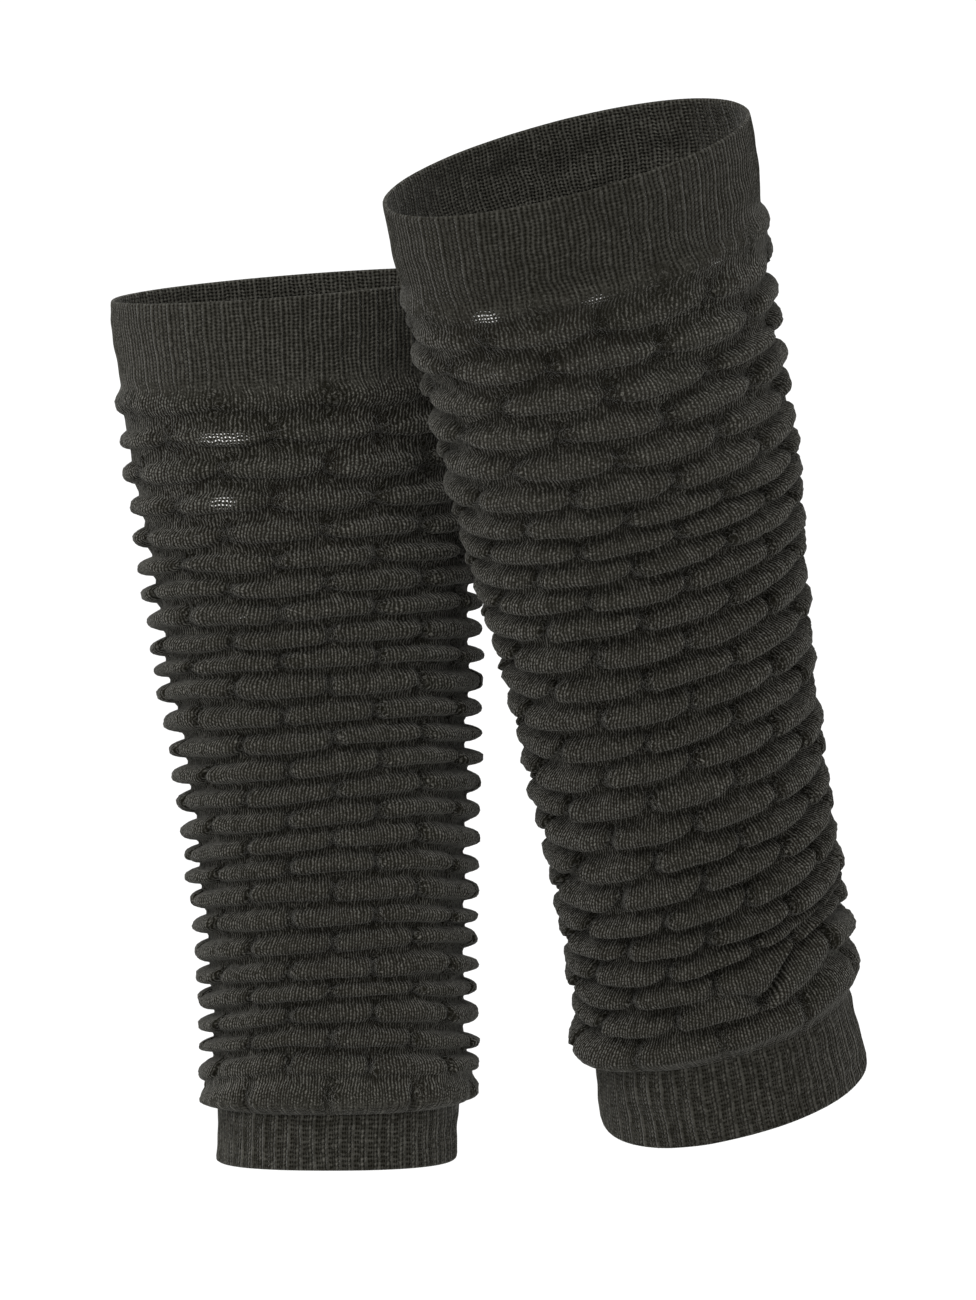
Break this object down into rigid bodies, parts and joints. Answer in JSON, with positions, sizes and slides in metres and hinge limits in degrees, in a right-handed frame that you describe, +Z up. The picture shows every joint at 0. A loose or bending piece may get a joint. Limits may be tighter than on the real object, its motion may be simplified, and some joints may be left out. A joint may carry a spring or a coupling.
{
  "type": "pair of leg warmers",
  "caption": "Charcoal knitted leg warmers in their worn shape: open tapering tubes with ribbed cuffs and rows of short puffed tuck ridges.",
  "frame": {"origin": "the point midway between the two top cuffs' mouths, where the wearer's legs hold the pair", "axes": "+Z up along the legs towards the top cuffs, +X to the right of the pair seen from the front, +Y to the back"},
  "size_m": [0.2815, 0.1891, 0.4014],
  "materials": {
    "rib_cuff_knit": "charcoal 1x1 rib knit, matt, faint wool nap, one stronger rib in four",
    "tuck_ridge_knit": "charcoal fine knit in staggered puffed ridges, matt, faint wool nap and melange"
  },
  "bodies": {
    "root": {"left_top_cuff": "rib_cuff_knit", "left_body": "tuck_ridge_knit", "left_bottom_cuff": "rib_cuff_knit", "right_top_cuff": "rib_cuff_knit", "right_body": "tuck_ridge_knit", "right_bottom_cuff": "rib_cuff_knit"}
  },
  "joints": []
}
